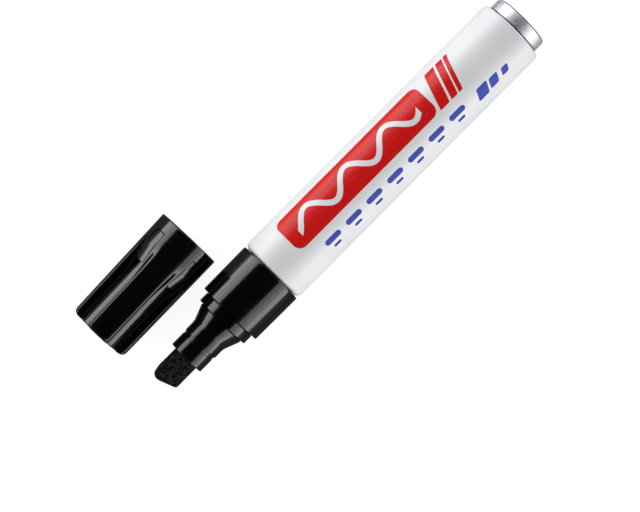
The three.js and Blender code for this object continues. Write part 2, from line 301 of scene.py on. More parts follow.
def finish_piece(
    piece: bpy.types.Object, body: Body, node: str, slot: Slot, *materials: bpy.types.Material
) -> bpy.types.Object:
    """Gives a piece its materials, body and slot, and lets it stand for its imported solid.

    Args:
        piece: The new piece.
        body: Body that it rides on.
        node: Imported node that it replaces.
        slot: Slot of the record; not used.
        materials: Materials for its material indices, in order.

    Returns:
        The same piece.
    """
    for material in materials:
        piece.data.materials.append(material)
    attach(piece, body.value)
    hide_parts(node)
    LOG.info("%s: %d faces, rides on %s", piece.name, len(piece.data.polygons), body.value)
    return piece


# Finishes


@dataclass(frozen=True)
class BlackPolypropylene:
    """Injection-moulded polypropylene, gloss, coloured through with carbon black.

    The polished mould gives it long clean highlights; the faint waviness of the skin and a trace of
    handling soften them a little, so it doesn't look like glass. Waves, drawn out along the flow of
    the melt, and grain are sizes in millimetres.
    """

    name: str
    colour: str = "#030304"
    smudge_colour: str = "#060607"
    smudge_stops: Point = (0.35, 0.75)
    gloss_stops: Point = (0.3, 0.75)
    roughness: Point = (0.11, 0.2)
    ior: float = 1.49
    specular: float = 0.64
    skin_wave: float = 6.0
    flow: float = 0.45
    grain: float = 0.35

    def material(self) -> bpy.types.Material:
        """Builds the node material.

        Returns:
            The material.
        """
        material, tree = new_material(self.name)
        along = millimetres(tree, scale=(self.flow, 1, 1))
        waves = {"Vector": along, "Scale": 1 / self.skin_wave, "Detail": 5.0, "Roughness": 0.62}
        smudges = add(tree, "TexNoise", waves)
        ramp = add(tree, "ValToRGB", {"Fac": smudges})
        tone = set_ramp(ramp, self.smudge_stops, (self.colour, self.smudge_colour))
        gloss = add(tree, "MapRange", {"Value": smudges, **ends(self.gloss_stops, self.roughness)})
        # The real grain is near 0.05 mm; it is drawn at 0.35 mm so that a close view can show it.
        fine = add(tree, "TexNoise", {"Vector": millimetres(tree), "Scale": 1 / self.grain, "Detail": 2.0})
        grain = add(tree, "Bump", {"Strength": 0.03, "Distance": 0.02 * MM, "Height": fine})
        wavy = {"Strength": 0.12, "Distance": 0.1 * MM, "Height": smudges, "Normal": grain}
        skin = {
            "Base Color": tone,
            "Roughness": gloss,
            "IOR": self.ior,
            "Specular IOR Level": self.specular,
            "Normal": add(tree, "Bump", wavy),
        }
        add(tree, "OutputMaterial", {"Surface": add(tree, "BsdfPrincipled", skin)})
        return material


class Ink(str, Enum):
    """Printing inks of the generic decoration."""

    RED = "#d20e0b"
    BLUE = "#0a32ab"


@dataclass(frozen=True)
class Lozenge:
    """A printed rectangle with rounded corners, laid round the barrel.

    Sizes are millimetres along the barrel and round it, from the barrel's front edge and from its
    top towards the cap's side. Lean shears it along the barrel, and blur softens the ink's edge.
    """

    ink: Ink
    along: float
    around: float
    length: float
    width: float
    corner: float
    lean: float = 0.0
    blur: float = 0.03

    def mask(self, tree: bpy.types.NodeTree, sheet: bpy.types.Node) -> bpy.types.Node:
        """1 where the ink lies.

        Args:
            tree: Node tree.
            sheet: Node with the unrolled coordinates.

        Returns:
            A node whose first output is the mask.
        """
        middle = (self.along, self.around, 0)
        moved = add(tree, "VectorMath", {0: sheet, 1: middle}, operation="SUBTRACT")
        if self.lean:
            parts = add(tree, "SeparateXYZ", {"Vector": moved})
            shear = {0: parts.outputs[1], 1: -self.lean, 2: parts.outputs[0]}
            x = add(tree, "Math", shear, operation="MULTIPLY_ADD")
            moved = add(tree, "CombineXYZ", {"X": x, "Y": parts.outputs[1]})
        size = (self.length / 2 - self.corner, self.width / 2 - self.corner, 0)
        away = add(tree, "VectorMath", {0: moved}, operation="ABSOLUTE")
        beyond = add(tree, "VectorMath", {0: away, 1: size}, operation="SUBTRACT")
        outside = add(tree, "VectorMath", {0: beyond, 1: (0, 0, 0)}, operation="MAXIMUM")
        distance = add(tree, "VectorMath", {0: outside}, operation="LENGTH").outputs["Value"]
        edge = ends((self.corner + self.blur, self.corner - self.blur))
        return add(tree, "MapRange", {"Value": distance, **edge})


@dataclass(frozen=True)
class Ribbon:
    """An unprinted wave left in a printed panel, as a pen would draw it, in millimetres."""

    along: Point
    around: float
    swing: float
    period: float
    thickness: float
    blur: float = 0.04

    def mask(self, tree: bpy.types.NodeTree, sheet: bpy.types.Node) -> bpy.types.Node:
        """1 on the wave.

        Args:
            tree: Node tree.
            sheet: Node with the unrolled coordinates.

        Returns:
            A node whose first output is the mask.
        """
        parts = add(tree, "SeparateXYZ", {"Vector": sheet})
        turn = add(tree, "Math", {0: parts.outputs[0], 1: math.tau / self.period}, operation="MULTIPLY")
        wave = add(tree, "Math", {0: turn}, operation="SINE")
        line = add(tree, "Math", {0: wave, 1: self.swing, 2: self.around}, operation="MULTIPLY_ADD")
        gap = add(tree, "Math", {0: parts.outputs[1], 1: line}, operation="SUBTRACT")
        # The wave climbs at up to 48 degrees, so its gap is measured across the stroke.
        slope = add(tree, "Math", {0: turn}, operation="COSINE")
        steep = self.swing * math.tau / self.period
        climb = add(tree, "Math", {0: slope, 1: steep}, operation="MULTIPLY")
        square = add(tree, "Math", {0: climb, 1: climb, 2: 1.0}, operation="MULTIPLY_ADD")
        length = add(tree, "Math", {0: square}, operation="SQRT")
        across = add(tree, "Math", {0: gap, 1: length}, operation="DIVIDE")
        width = add(tree, "Math", {0: across}, operation="ABSOLUTE")
        half = self.thickness / 2
        edge = ends((half + self.blur, half - self.blur))
        stroke = add(tree, "MapRange", {"Value": width, **edge})
        middle, reach = sum(self.along) / 2, (self.along[1] - self.along[0]) / 2
        off = add(tree, "Math", {0: parts.outputs[0], 1: middle}, operation="SUBTRACT")
        far = add(tree, "Math", {0: off}, operation="ABSOLUTE")
        stop = ends((reach + self.blur, reach - self.blur))
        drawn = add(tree, "MapRange", {"Value": far, **stop})
        return add(tree, "Math", {0: stroke, 1: drawn}, operation="MULTIPLY")


def generic_print() -> tuple[list[Lozenge], list[Ribbon]]:
    """The barrel's decoration: a red panel with a white wave, trailing bars and blue dashes.

    Returns:
        The inked shapes and the unprinted waves.
    """
    panel = Lozenge(Ink.RED, along=33.5, around=3.6, length=50.0, width=10.6, corner=2.4)
    wave = Ribbon(along=(12.0, 55.0), around=panel.around, swing=2.5, period=14.0, thickness=1.5)
    lean = 0.34
    shapes = [panel]
    for i, length in enumerate((3.2, 2.2, 1.3)):
        place = 62.2 + 4.0 * i - 0.6 * i * i
        shapes.append(Lozenge(Ink.RED, place, panel.around, length, panel.width, corner=0.3, lean=lean))
    for i in range(7):
        place = 17.0 + 7.4 * i
        shapes.append(Lozenge(Ink.BLUE, place, around=-5.3, length=5.2, width=1.7, corner=0.84))
        shapes.append(Lozenge(Ink.BLUE, place, around=-7.6, length=2.4, width=0.9, corner=0.44))
    for i, size in enumerate((3.6, 2.9, 2.2)):
        place = 70.0 + 3.9 * i
        shapes.append(Lozenge(Ink.BLUE, place, around=-6.2, length=size, width=size, corner=0.5, lean=lean))
    return shapes, [wave]


@dataclass(frozen=True)
class LacqueredAluminium:
    """Drawn aluminium, roller-coated with white enamel, dry-offset printed and overvarnished.

    The varnish gives soft-edged sheen over an even white with a breath of orange peel, and the inks
    lie under it with faintly uneven cover. Clouds, dots and peel are sizes in millimetres.
    """

    name: str = "white_enamel_on_drawn_aluminium"
    white: str = "#e8e9eb"
    shade: str = "#e3e4e7"
    roughness: Point = (0.32, 0.42)
    ior: float = 1.5
    bare_and_inked_specular: Point = (0.38, 0.2)
    varnish: float = 0.14
    varnish_roughness: float = 0.09
    cloud: float = 11.11
    cloud_stops: Point = (0.3, 0.7)
    dot: float = 0.4
    dot_stops: Point = (0.25, 0.6)
    cover: Point = (0.978, 1.0)
    peel: float = 0.9

    def sheet(self, tree: bpy.types.NodeTree) -> bpy.types.Node:
        """Unrolls the barrel into millimetres along it and round it.

        Args:
            tree: Node tree.

        Returns:
            A node whose first output holds the unrolled coordinates.
        """
        about = millimetres(tree, origin=(TIP_X + BARREL_FRONT, AXIS_Y, AXIS_Z))
        parts = add(tree, "SeparateXYZ", {"Vector": about})
        turn = add(tree, "Math", {0: parts.outputs[1], 1: parts.outputs[2]}, operation="ARCTAN2")
        round_it = add(tree, "Math", {0: turn, 1: BARREL_RADIUS}, operation="MULTIPLY")
        return add(tree, "CombineXYZ", {"X": parts.outputs[0], "Y": round_it})

    def printed(
        self, tree: bpy.types.NodeTree, colour: bpy.types.NodeSocket
    ) -> tuple[bpy.types.NodeSocket, bpy.types.Node]:
        """Lays one ink after the other over the enamel.

        Args:
            tree: Node tree.
            colour: Colour of the enamel.

        Returns:
            The colour with its print, and a node whose first output is 1 where any ink lies.
        """
        sheet = self.sheet(tree)
        shapes, waves = generic_print()
        left_bare = [wave.mask(tree, sheet) for wave in waves]
        # Ink cover varies at the scale of the printing dots, drawn at 0.4 mm so that it can show.
        dots = add(tree, "TexNoise", {"Vector": millimetres(tree), "Scale": 1 / self.dot, "Detail": 2.0})
        cover = add(tree, "MapRange", {"Value": dots, **ends(self.dot_stops, self.cover)})
        inked: bpy.types.Node | float = 0.0
        for ink in Ink:
            one: bpy.types.Node | float = 0.0
            for shape in (s for s in shapes if s.ink is ink):
                one = add(tree, "Math", {0: one, 1: shape.mask(tree, sheet)}, operation="MAXIMUM")
            for bare in left_bare:
                kept = add(tree, "Math", {0: 1.0, 1: bare}, operation="SUBTRACT")
                one = add(tree, "Math", {0: one, 1: kept}, operation="MULTIPLY")
            laid = add(tree, "Math", {0: one, 1: cover}, operation="MULTIPLY")
            inked = add(tree, "Math", {0: inked, 1: laid}, operation="MAXIMUM")
            layers = {0: laid, 6: colour, 7: linear(ink.value)}
            colour = add(tree, "Mix", layers, data_type="RGBA").outputs[2]
        return colour, inked

    def material(self) -> bpy.types.Material:
        """Builds the node material.

        Returns:
            The material.
        """
        material, tree = new_material(self.name)
        clouds = {"Vector": millimetres(tree), "Scale": 1 / self.cloud, "Detail": 3.0}
        cloud = add(tree, "TexNoise", clouds)
        ramp = add(tree, "ValToRGB", {"Fac": cloud})
        enamel = set_ramp(ramp, self.cloud_stops, (self.shade, self.white))
        colour, inked = self.printed(tree, enamel.outputs[0])
        # Orange peel of the enamel, a few micrometres deep.
        peel = add(tree, "TexNoise", {"Vector": millimetres(tree), "Scale": 1 / self.peel, "Detail": 1.0})
        bump = add(tree, "Bump", {"Strength": 0.25, "Distance": 0.012 * MM, "Height": peel})
        gloss = add(tree, "MapRange", {"Value": cloud, **ends(self.cloud_stops, self.roughness)})
        mirror = ends((0.0, 1.0), self.bare_and_inked_specular)
        skin = {
            "Base Color": colour,
            "Roughness": gloss,
            "IOR": self.ior,
            "Specular IOR Level": add(tree, "MapRange", {"Value": inked, **mirror}),
            "Coat Weight": self.varnish,
            "Coat Roughness": self.varnish_roughness,
            "Normal": bump,
            "Coat Normal": bump,
        }
        add(tree, "OutputMaterial", {"Surface": add(tree, "BsdfPrincipled", skin)})
        return material


@dataclass(frozen=True)
class DrawnAluminium:
    """Bare aluminium, drawn through a die and left unpolished.

    It mirrors the lamps as soft bright bands, broken by fine drawing lines round the part and by a
    light speckle where the die lubricant was etched off. Two thin dark rings, given by their stations,
    are painted shade: one in the seam under the enamel's edge at the spigot's foot, one round the
    end's rounded rim. Line and speck are sizes in millimetres.
    """

    name: str = "bare_drawn_aluminium"
    bright: str = "#e2e3e7"
    dull: str = "#b7bbc4"
    speck: float = 0.5
    speck_stops: Point = (0.3, 0.62)
    roughness: Point = (0.46, 0.58)
    gloss_stops: Point = (0.3, 0.7)
    line: float = 0.25
    line_stretch: float = 0.06
    # Painted shade: colour of the two dark rings at the spigot's foot and round its end's rim.
    painted_shade_colour: str = "#24262b"
    rings: tuple[Point, Point] = ((126.5, 126.95), (130.06, 130.34))
    ring_fade: Point = (0.04, 0.004)

    def painted_shade_rings(self, tree: bpy.types.NodeTree) -> bpy.types.Node:
        """Masks the two thin rings of painted shade.

        Args:
            tree: Node tree.

        Returns:
            A node whose first output is 1 in a ring and 0 elsewhere.
        """
        about = millimetres(tree, origin=(TIP_X, AXIS_Y, AXIS_Z))
        station = add(tree, "SeparateXYZ", {"Vector": about}).outputs[0]
        dark: bpy.types.Node | float = 0.0
        for start, end in self.rings:
            front = ends((start - self.ring_fade[0], start))
            rear = ends((end, end + self.ring_fade[1]), (1.0, 0.0))
            begun, left = (add(tree, "MapRange", {"Value": station, **edge}) for edge in (front, rear))
            ring = add(tree, "Math", {0: begun, 1: left}, operation="MULTIPLY")
            dark = add(tree, "Math", {0: dark, 1: ring}, operation="MAXIMUM")
        return dark

    def material(self) -> bpy.types.Material:
        """Builds the node material.

        Returns:
            The material.
        """
        material, tree = new_material(self.name)
        rings = millimetres(tree, scale=(1 / self.line, self.line_stretch, self.line_stretch))
        lines = add(tree, "TexNoise", {"Vector": rings, "Scale": 1.0, "Detail": 3.0})
        speckled = {"Vector": millimetres(tree), "Scale": 1 / self.speck, "Detail": 4.0}
        specks = add(tree, "TexNoise", speckled)
        ramp = add(tree, "ValToRGB", {"Fac": specks})
        clean = set_ramp(ramp, self.speck_stops, (self.dull, self.bright))
        # Painted shade: the rings darken the metal's colour in the foot's seam and round the end's rim.
        dark = {0: self.painted_shade_rings(tree), 6: clean, 7: linear(self.painted_shade_colour)}
        colour = add(tree, "Mix", dark, data_type="RGBA").outputs[2]
        gloss = add(tree, "MapRange", {"Value": specks, **ends(self.gloss_stops, self.roughness)})
        drawn = add(tree, "Bump", {"Strength": 0.3, "Distance": 0.008 * MM, "Height": lines})
        pits = {"Strength": 0.3, "Distance": 0.012 * MM, "Height": specks, "Normal": drawn}
        skin = {
            "Base Color": colour,
            "Roughness": gloss,
            "Metallic": 1.0,
            "Normal": add(tree, "Bump", pits),
        }
        add(tree, "OutputMaterial", {"Surface": add(tree, "BsdfPrincipled", skin)})
        return material


@dataclass(frozen=True)
class InkedFelt:
    """Polyester fibre, pressed into a rod or a wadding and soaked with ink.

    Pores between the fibres swallow the light, and wet fibre backs catch it in small glints; both are
    painted into the colour, as painted shade in the pores and painted glints on the fibres, which gives
    a mottled near-black. Pore size and depth are millimetres.
    """

    name: str
    # Painted shade in the pores and painted glints on the fibres: the two ends of the colour mottle.
    pore: str = "#000000"
    fibre: str = "#2d2d31"
    pore_size: float = 0.56
    pore_stops: Point = (0.57, 0.84)
    cells: float = 0.35
    stretch: float = 0.35
    depth: float = 0.09
    wet_stops: Point = (0.35, 0.7)
    roughness: Point = (0.95, 0.55)
    ior: float = 1.45
    sheen: float = 0.01
    specular: float = 0.03

    def material(self) -> bpy.types.Material:
        """Builds the node material.

        Returns:
            The material.
        """
        material, tree = new_material(self.name)
        fine = 1 / self.pore_size
        along = millimetres(tree, scale=(self.stretch * fine, fine, fine))
        pores = add(tree, "TexNoise", {"Vector": along, "Scale": 1.0, "Detail": 5.0, "Roughness": 0.7})
        cells = add(tree, "TexVoronoi", {"Vector": millimetres(tree), "Scale": fine})
        mixed = {0: cells.outputs["Distance"], 1: self.cells, 2: pores}
        both = add(tree, "Math", mixed, operation="MULTIPLY_ADD")
        # Painted shade and glints: the pore colour darkens the bump's hollows, the fibre colour lightens
        # its peaks.
        ramp = add(tree, "ValToRGB", {"Fac": both})
        colour = set_ramp(ramp, self.pore_stops, (self.pore, self.fibre))
        wet = add(tree, "MapRange", {"Value": pores, **ends(self.wet_stops, self.roughness)})
        bump = add(tree, "Bump", {"Strength": 0.9, "Distance": self.depth * MM, "Height": both})
        skin = {
            "Base Color": colour,
            "Roughness": wet,
            "IOR": self.ior,
            "Specular IOR Level": self.specular,
            "Sheen Weight": self.sheen,
            "Sheen Roughness": 0.5,
            "Normal": bump,
        }
        add(tree, "OutputMaterial", {"Surface": add(tree, "BsdfPrincipled", skin)})
        return material


@dataclass(frozen=True)
class PolypropyleneFilm:
    """Blown polypropylene film, wrapped round the wadding and welded along it.

    It is milky and thin, with long creases from the wrapping that catch the light. A crease's width
    is in millimetres.
    """

    name: str = "milky_polypropylene_film"
    pale: str = "#d9dedb"
    stained: str = "#8f9496"
    crease: float = 2.2
    crease_stops: Point = (0.3, 0.6)
    stretch: float = 0.12
    gloss_stops: Point = (0.3, 0.7)
    roughness: Point = (0.2, 0.42)
    ior: float = 1.49
    milkiness: float = 0.3

    def material(self) -> bpy.types.Material:
        """Builds the node material.

        Returns:
            The material.
        """
        material, tree = new_material(self.name)
        fine = 1 / self.crease
        along = millimetres(tree, scale=(self.stretch * fine, fine, fine))
        creases = add(tree, "TexNoise", {"Vector": along, "Scale": 1.0, "Detail": 4.0})
        ramp = add(tree, "ValToRGB", {"Fac": creases})
        gloss = ends(self.gloss_stops, self.roughness)
        skin = {
            "Base Color": set_ramp(ramp, self.crease_stops, (self.stained, self.pale)),
            "Roughness": add(tree, "MapRange", {"Value": creases, **gloss}),
            "IOR": self.ior,
            "Transmission Weight": self.milkiness,
            "Normal": add(tree, "Bump", {"Strength": 0.5, "Distance": 0.15 * MM, "Height": creases}),
        }
        add(tree, "OutputMaterial", {"Surface": add(tree, "BsdfPrincipled", skin)})
        return material


@dataclass(frozen=True)
class PaintedSweep:
    """Matt white emulsion on the studio's floor and wall.

    It shows as plain white to the lens, dimmer in every reflection, and still takes a soft shadow.
    """

    name: str = "matt_white_sweep"
    paint: str = "#959595"
    paint_in_gloss: str = "#808080"
    to_lens: float = 0.92
    in_gloss: float = 0.04

    def material(self) -> bpy.types.Material:
        """Builds the node material.

        Returns:
            The material.
        """
        material, tree = new_material(self.name)
        rays = add(tree, "LightPath").outputs
        bent = {0: rays["Is Glossy Ray"], 1: rays["Is Transmission Ray"]}
        mirrored = add(tree, "Math", bent, operation="MAXIMUM")
        dim = add(tree, "Math", {0: mirrored, 1: self.in_gloss}, operation="MULTIPLY")
        seen = {0: rays["Is Camera Ray"], 1: self.to_lens, 2: dim}
        strength = add(tree, "Math", seen, operation="MULTIPLY_ADD")
        glow = add(tree, "Emission", {"Color": (1, 1, 1, 1), "Strength": strength})
        coats = {0: mirrored, 6: linear(self.paint), 7: linear(self.paint_in_gloss)}
        coat = add(tree, "Mix", coats, data_type="RGBA")
        paint = add(tree, "BsdfDiffuse", {"Color": coat.outputs[2], "Roughness": 1.0})
        add(tree, "OutputMaterial", {"Surface": add(tree, "AddShader", {0: glow, 1: paint})})
        return material


# Pieces


@dataclass
class Barrel:
    """Drawn aluminium can with a closed bare spigot at its rear end.

    Its inner fillets lie at the base, at the spigot's foot and in the shoulder.
    """

    front: float = BARREL_FRONT
    length: float = 86.7
    radius: float = BARREL_RADIUS
    wall: float = 0.5
    lip_bore: float = 7.7
    lip_round: float = 1.6
    spigot_radius: float = 7.89
    spigot_length: float = 3.8
    spigot_round: float = 0.9
    foot_width: float = 0.3
    foot_depth: float = 0.32
    foot_fillet: float = 0.04
    edge_break: float = 0.05
    shoulder_round: float = 0.89
    base: float = 0.8
    inner_fillets: Triple = (0.4, 0.2, 0.74)
    enamel_edge: float = 0.02
    columns: int = 192

    def outline(self) -> list[Point]:
        """The can's section.

        Returns:
            Points of station and radius.
        """
        rear = self.front + self.length
        end = rear + self.spigot_length
        foot = self.spigot_radius - self.foot_depth
        bore = self.spigot_radius - self.wall
        inner = self.radius - self.wall
        centre = self.radius - self.lip_round
        lip_rear = self.front + self.lip_round
        lip_inner = self.front + self.wall
        lip = curved((self.front, centre), (self.front, self.radius), (lip_rear, self.radius), 10)
        inside = curved((lip_rear, inner), (lip_inner, inner), (lip_inner, centre), 8)
        at_base, at_foot, at_shoulder = self.inner_fillets
        corners = [
            (self.front, self.lip_bore, self.edge_break),
            *((x, r, 0.0) for x, r in lip),
            (rear, self.radius, self.shoulder_round),
            (rear, foot, self.foot_fillet),
            (rear + self.foot_width, foot, self.foot_fillet),
            (rear + self.foot_width, self.spigot_radius, self.edge_break),
            (end, self.spigot_radius, self.spigot_round),
            (end, 0.0, 0.0),
            (end - self.base, 0.0, 0.0),
            (end - self.base, bore, at_base),
            (rear - self.wall, bore, at_foot),
            (rear - self.wall, inner, at_shoulder),
            *((x, r, 0.0) for x, r in inside),
            (lip_inner, self.lip_bore, self.edge_break),
        ]
        return filleted(corners, 8)

    def build(self, enamel: bpy.types.Material, bare: bpy.types.Material) -> bpy.types.Object:
        """Makes the can, enamelled up to the spigot's foot.

        Args:
            enamel: White printed enamel.
            bare: Bare aluminium.

        Returns:
            The piece.
        """
        outline = self.outline()
        columns = [
            [on_marker(x, r * ON_FLATS, math.tau * i / self.columns) for x, r in outline]
            for i in range(self.columns)
        ]
        can = grid_mesh("barrel_can", columns)
        edge = (TIP_X + self.front + self.length - self.enamel_edge) * MM
        for face in can.data.polygons:
            out = Vector((0, face.center.y - AXIS_Y * MM, face.center.z - AXIS_Z * MM))
            inward = face.normal.dot(out.normalized()) < -0.01
            face.material_index = 1 if face.center.x > edge or inward else 0
        return finish_piece(can, Body.MARKER, "barrel", Slot.LACQUERED_ALUMINIUM, enamel, bare)


@dataclass
class FrontSection:
    """Moulded section: nib holder with its seal groove, flare, ring, grip and skirt.

    A pair is a radius and a length; the grip has a radius at either end, and its length. Groove
    fillets lie at its rim and on its floor, and grip edges at its front and its rear. The creases
    are narrow grooves with a slanted floor at the foot of the two steps.
    """

    holder_end: float = HOLDER_END
    holder_front: Point = (5.05, 4.05)
    holder_edge: float = 0.22
    groove_width: float = 1.05
    groove_depth: float = 0.12
    groove_wall: float = 0.12
    groove_fillets: Point = (0.06, 0.08)
    holder_rear: Point = (5.22, 3.1)
    flare_bend: float = 3.6
    cone: Point = (7.07, 4.7)
    ring: Point = (7.89, 2.9)
    ring_edge: float = 0.16
    grip: Triple = (9.23, 9.36, 14.8)
    grip_edges: Point = (0.12, 0.42)
    crease_width: float = 0.32
    crease_depth: float = 0.42
    fine_fillet: float = 0.03
    collar: Point = (8.5, 0.18)
    neck: Point = (7.4, 1.85)
    neck_fillet: float = 0.1
    skirt: Point = (8.72, 4.6)
    skirt_edge: float = 0.4
    bore: float = 3.85
    bore_length: float = 17.0
    bore_cone: float = 2.5
    cavity: float = 6.5
    vents: int = 4
    vent_width: float = 0.9
    vent_depth: float = 0.5
    vent_wall: float = 0.003
    columns: int = 192

    def outline(self, bore: float) -> list[Point]:
        """The section's profile with its bore at a given radius.

        Args:
            bore: Radius of the nib bore, wider in a vent.

        Returns:
            Points of station and radius, always as many.
        """
        x = self.holder_end
        groove = x + self.holder_front[1]
        groove_end = groove + self.groove_width
        low = self.holder_front[0] - self.groove_depth
        wall, (rim, floor) = self.groove_wall, self.groove_fillets
        flare = groove_end + self.holder_rear[1]
        ring = flare + self.cone[1]
        shoulder = ring + self.ring[1]
        seam = shoulder + self.grip[2]
        neck_end = seam + self.neck[1]
        tail = neck_end + self.skirt[1]
        cavity_front = x + self.bore_length
        wide, deep, fine = self.crease_width, self.crease_depth, self.fine_fillet
        slope = (self.cone[0] - self.holder_rear[0]) / self.cone[1]
        on_cone = self.cone[0] - wide * slope
        corners = [
            (x, bore, 0.0),
            (x, self.holder_front[0], self.holder_edge),
            (groove, self.holder_front[0], rim),
            (groove + wall, low, floor),
            (groove_end - wall, low, floor),
            (groove_end, self.holder_rear[0], floor),
            (flare, self.holder_rear[0], self.flare_bend),
            (ring - wide, on_cone, fine),
            (ring, on_cone - deep, fine),
            (ring, self.ring[0], self.ring_edge),
            (shoulder - wide, self.ring[0], fine),
            (shoulder, self.ring[0] - deep, fine),
            (shoulder, self.grip[0], self.grip_edges[0]),
            (seam, self.grip[1], self.grip_edges[1]),
            (seam, self.collar[0], fine),
            (seam + self.collar[1], self.collar[0], fine),
            (seam + self.collar[1], self.neck[0], fine),
            (neck_end, self.neck[0], self.neck_fillet),
            (neck_end, self.skirt[0], self.skirt_edge),
            (tail, self.skirt[0], self.skirt_edge),
            (tail, self.cavity, 0.0),
            (cavity_front + self.bore_cone, self.cavity, 0.0),
            (cavity_front, self.bore, 0.0),
            (cavity_front, bore, 0.0),
        ]
        return filleted(corners, 6)

    def angles(self) -> list[tuple[float, bool]]:
        """Column angles, close together at the walls of each vent.

        Returns:
            Angle in radians and whether the column lies in a vent.
        """
        half = math.asin(self.vent_width / 2 / self.bore)
        pitch = math.tau / self.vents
        between = self.columns // self.vents - 8
        found: list[tuple[float, bool]] = []
        for i in range(self.vents):
            middle = math.pi / 4 + i * pitch
            found += [(middle + half * share, True) for share in (-1, -4 / 7, 0, 4 / 7, 1)]
            start, span = middle + half + self.vent_wall, pitch - 2 * (half + self.vent_wall)
            found += [(start + span * k / between, False) for k in range(between + 1)]
        return found

    def build(self, plastic: bpy.types.Material) -> bpy.types.Object:
        """Makes the moulding.

        Args:
            plastic: Black polypropylene.

        Returns:
            The piece.
        """
        plain = self.outline(self.bore)
        vented = self.outline(self.bore + self.vent_depth)
        columns = [
            [on_marker(x, r * ON_FLATS, angle) for x, r in (vented if in_vent else plain)]
            for angle, in_vent in self.angles()
        ]
        moulding = grid_mesh("front_section_moulding", columns)
        return finish_piece(moulding, Body.MARKER, "front_section", Slot.BLACK_PLASTIC, plastic)


@dataclass
class ChiselNib:
    """Round felt rod, cut on a slant and bevelled to a writing edge.

    Rows of points run back from the cut, close together where it is worn. Fuzz is how deep the pores
    are pressed in, and the scales of fibres and pores are waves in a millimetre.
    """

    radius: float = 3.7
    slant: float = 21.5
    edge: float = 1.6
    bevel: float = 5.2
    leading_round: float = 4.8
    leading_cut: float = 3.6
    trailing_round: float = 0.4
    trailing_bulge: float = 0.8
    bevel_blend: float = 0.22
    rear: float = 51.35
    rear_chamfer: float = 0.4
    showing: float = HOLDER_END + 1
    columns: int = 128
    first_rows: tuple[float, ...] = (0.0, 0.04, 0.12, 0.25)
    row_start: float = 0.4
    row_step: float = 0.16
    rows: int = 62
    face_depth: float = 0.1
    face_shares: tuple[float, ...] = (0.0, 0.4, 0.75, 0.93)
    worn_depth: float = 0.12
    worn_share: float = 0.06
    fuzz: float = 0.045
    fibre_scale: Triple = (2.2, 4.5, 4.5)
    pore_scale: float = 1.3
    pore_origin: Triple = (7.0, 3.0, 1.0)
    pore_share: float = 0.8
    untouched: float = 0.9

    def front_of(self, across: float) -> float:
        """Station of the slanted cut.

        Args:
            across: Millimetres from the axis towards the cap's side.

        Returns:
            Station in millimetres.
        """
        slope = math.tan(math.radians(self.slant))
        lead = self.radius - self.leading_cut * math.cos(math.radians(self.slant))
        on_cut = ((self.radius - lead) * slope, lead)
        rounding = curved((self.leading_round, self.radius), (0, self.radius), on_cut, 32)
        tip = min(point[0] for point in rounding)
        if across > lead:
            sides = [point[1] for point in reversed(rounding)]
            at = min(max(bisect.bisect_left(sides, across), 1), len(sides) - 1)
            low, high = rounding[len(sides) - at], rounding[len(sides) - 1 - at]
            share = (across - low[1]) / max(high[1] - low[1], 1e-9)
            return low[0] + (high[0] - low[0]) * share - tip
        corner = self.trailing_round - self.radius
        back = max(corner - across, 0) / self.trailing_round
        worn = self.trailing_round * self.trailing_bulge * back * back
        return (self.radius - across) * slope - tip + worn

    def half_height(self, station: float, limit: float) -> float:
        """Half thickness of the bevelled rod, with a soft line where bevel meets rod.

        Args:
            station: Millimetres from the tip.
            limit: Half thickness of the round rod there.

        Returns:
            Half thickness in millimetres.
        """
        bevel = self.edge / 2 + (self.radius - self.edge / 2) * station / self.bevel
        blend = self.bevel_blend
        gap = max(blend - abs(bevel - limit), 0) / blend
        return max(min(bevel, limit) - gap * gap * blend / 4, 0)

    def build(self, felt: bpy.types.Material) -> bpy.types.Object:
        """Makes the nib.

        Args:
            felt: Inked felt.

        Returns:
            The piece.
        """
        radius = self.radius * ON_FLATS
        narrow = 1 - self.rear_chamfer / radius
        steps = [*self.first_rows, *(self.row_start + self.row_step * i for i in range(self.rows))]
        columns = []
        for c in range(self.columns):
            angle = math.tau * (c + 0.5) / self.columns
            across, up = radius * math.sin(angle), radius * math.cos(angle)
            side = math.copysign(1.0, up)
            front = self.front_of(across)
            face = self.half_height(front + self.face_depth, abs(up))
            column = [(front, face * share) for share in self.face_shares]
            for step in steps:
                height = self.half_height(front + step, abs(up))
                worn = self.worn_share * max(0.0, 1 - step / self.worn_depth) ** 2
                column.append((front + step, height * (1 - worn)))
            column.append((self.rear - self.rear_chamfer, abs(up)))
            points = [Vector((TIP_X + x, AXIS_Y + across, AXIS_Z + side * z)) for x, z in column]
            rim = (TIP_X + self.rear, AXIS_Y + across * narrow, AXIS_Z + up * narrow)
            points += [Vector(rim), Vector((TIP_X + self.rear, AXIS_Y, AXIS_Z))]
            columns.append(points)
        nib = grid_mesh("chisel_nib", columns, sharp=75, closed_rows=False)
        self.roughen(nib)
        return finish_piece(nib, Body.NIB, "nib", Slot.INKED_FELT, felt)

    def roughen(self, nib: bpy.types.Object) -> None:
        """Presses pores into the part of the felt that shows.

        Args:
            nib: The nib's piece.
        """
        last = (TIP_X + self.showing) * MM
        moves = []
        for vertex in nib.data.vertices:
            place = vertex.co / MM
            fibre = noise.noise(place * Vector(self.fibre_scale))
            pore = noise.noise(place * self.pore_scale + Vector(self.pore_origin))
            depth = self.fuzz * (fibre + self.pore_share * pore - self.untouched)
            moves.append(depth if vertex.co.x < last else 0.0)
        for vertex, depth in zip(nib.data.vertices, moves):
            vertex.co += vertex.normal * depth * MM
        nib.data.update()


def both_ways(angles: Sequence[float]) -> list[float]:
    """The angles on either side of zero, and zero itself."""
    return [-a for a in reversed(angles)] + [0.0, *angles]


class Zone(Enum):
    """Parts of the cap's outside, round its axis."""

    BAND = "band"
    SIDE = "side"
    PAD = "pad"
    SLIT = "slit"


@dataclass(frozen=True)
class CapColumn:
    """One column of the cap's skin: an angle, and how far it has gone from one zone to the next."""

    angle: float
    upper: Zone
    lower: Zone
    share: float
    in_pocket: bool = False


